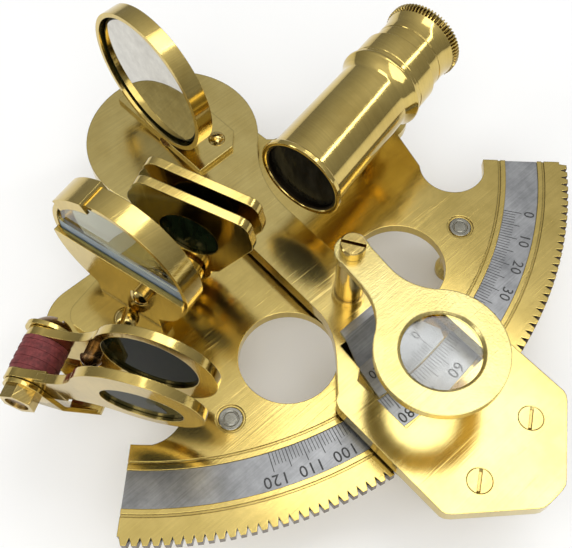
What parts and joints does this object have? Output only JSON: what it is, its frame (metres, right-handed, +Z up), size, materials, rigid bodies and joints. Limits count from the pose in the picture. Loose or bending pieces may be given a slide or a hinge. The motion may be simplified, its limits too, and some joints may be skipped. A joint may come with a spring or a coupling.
{
  "type": "sextant",
  "caption": "Brass pocket sextant: toothed limb with silvered scale, index arm with vernier, magnifier and drive knob, two mirrors, hinged shades, telescope.",
  "frame": {"origin": "the middle of the centre foot, where the index arm's pivot axis meets the plane of the three feet", "axes": "+Z up; the index arm turns about Z and rests along -Y; the telescope's side is +X, the horizon mirror's -X"},
  "size_m": [0.1129, 0.1167, 0.0511],
  "materials": {
    "polished_brass": "polished, finely scratched",
    "dark_brass": "dull and browned",
    "silvered_scale": "brushed, engraved scale",
    "mirror_glass": "silvered glass",
    "clear_glass": "clear",
    "shade_glass": "very dark green",
    "red_fibre": "pressed fibre, dull red brown"
  },
  "bodies": {
    "frame_body": {"frame": "polished_brass", "scale_strip": "silvered_scale", "legs": "polished_brass", "centre_bush": "polished_brass", "pivot_cap": "polished_brass", "index_shade_bracket": "polished_brass", "index_shade_screw": "polished_brass", "index_shade_pin": "polished_brass", "index_shade_spacers": "dark_brass", "horizon_bracket": "polished_brass", "horizon_bracket_screw": "polished_brass", "horizon_cell": "polished_brass", "horizon_glass": "clear_glass", "horizon_silvering": "mirror_glass", "horizon_clip": "polished_brass", "horizon_adjuster": "polished_brass", "horizon_shade_bracket": "polished_brass", "shade_bracket_screws": "polished_brass", "shade_rod": "dark_brass", "shade_rod_nut": "polished_brass", "fibre_washers": "red_fibre", "telescope_post": "polished_brass", "telescope_post_screw": "polished_brass", "telescope_tube": "polished_brass", "objective_lens": "clear_glass", "telescope_sleeve": "polished_brass"},
    "arm_body": {"index_spindle": "polished_brass", "spindle_washer": "polished_brass", "spindle_nut": "polished_brass", "index_arm": "polished_brass", "vernier_plate": "silvered_scale", "pinion_block": "polished_brass", "block_screws": "polished_brass", "index_mirror_bracket": "polished_brass", "index_mirror_cell": "polished_brass", "index_mirror_glass": "mirror_glass", "index_mirror_screws": "polished_brass", "magnifier_post": "polished_brass", "magnifier_screw": "polished_brass"},
    "drive_body": {"pinion": "dark_brass", "pinion_knob": "polished_brass", "knob_screw": "polished_brass"},
    "magnifier_body": {"magnifier_arm": "polished_brass", "magnifier_lens": "clear_glass"},
    "index_shade_front_body": {"index_shade_front": "polished_brass", "index_shade_front_glass": "shade_glass"},
    "index_shade_back_body": {"index_shade_back": "polished_brass", "index_shade_back_glass": "shade_glass"},
    "horizon_shade_rear_body": {"horizon_shade_rear": "polished_brass", "horizon_rear_glass": "shade_glass", "shade_stop": "dark_brass"},
    "horizon_shade_front_body": {"horizon_shade_front": "polished_brass", "horizon_front_glass": "shade_glass"},
    "eyepiece_body": {"eyepiece": "polished_brass", "eye_lens": "clear_glass"}
  },
  "joints": [
    {"name": "arm_swing", "type": "hinge", "parent": "frame_body", "child": "arm_body", "pos_m": [0, 0, 0.017], "axis": [0, 0, 1], "range_deg": [-24, 30]},
    {"name": "pinion_spin", "type": "hinge", "parent": "arm_body", "child": "drive_body", "pos_m": [0, -0.08274, 0.017], "axis": [0, 0, 1], "range_deg": [-570, 710]},
    {"name": "magnifier_swing", "type": "hinge", "parent": "arm_body", "child": "magnifier_body", "pos_m": [0.0013, -0.0496, 0.0352], "axis": [0, 0, 1], "range_deg": [0, 60]},
    {"name": "index_shade_front_swing", "type": "hinge", "parent": "frame_body", "child": "index_shade_front_body", "pos_m": [-0.01723, -0.02727, 0.0263], "axis": [-0.8988, -0.4384, 0], "range_deg": [-40, 30]},
    {"name": "index_shade_back_swing", "type": "hinge", "parent": "frame_body", "child": "index_shade_back_body", "pos_m": [-0.01723, -0.02727, 0.0263], "axis": [-0.8988, -0.4384, 0], "range_deg": [-40, 30]},
    {"name": "horizon_shade_rear_swing", "type": "hinge", "parent": "frame_body", "child": "horizon_shade_rear_body", "pos_m": [-0.0447, -0.0235, 0.0255], "axis": [-0.866, -0.5, 0], "range_deg": [0, 95]},
    {"name": "horizon_shade_front_swing", "type": "hinge", "parent": "frame_body", "child": "horizon_shade_front_body", "pos_m": [-0.0447, -0.0235, 0.0255], "axis": [-0.866, -0.5, 0], "range_deg": [0, 95]},
    {"name": "eyepiece_draw", "type": "slide", "parent": "frame_body", "child": "eyepiece_body", "axis": [0.9785, 0.2062, 0], "range_m": [-0.0025, 0.0035]}
  ],
  "couplings": [
    {"joint": "pinion_spin", "follows": "arm_swing", "ratio": 23.583}
  ]
}
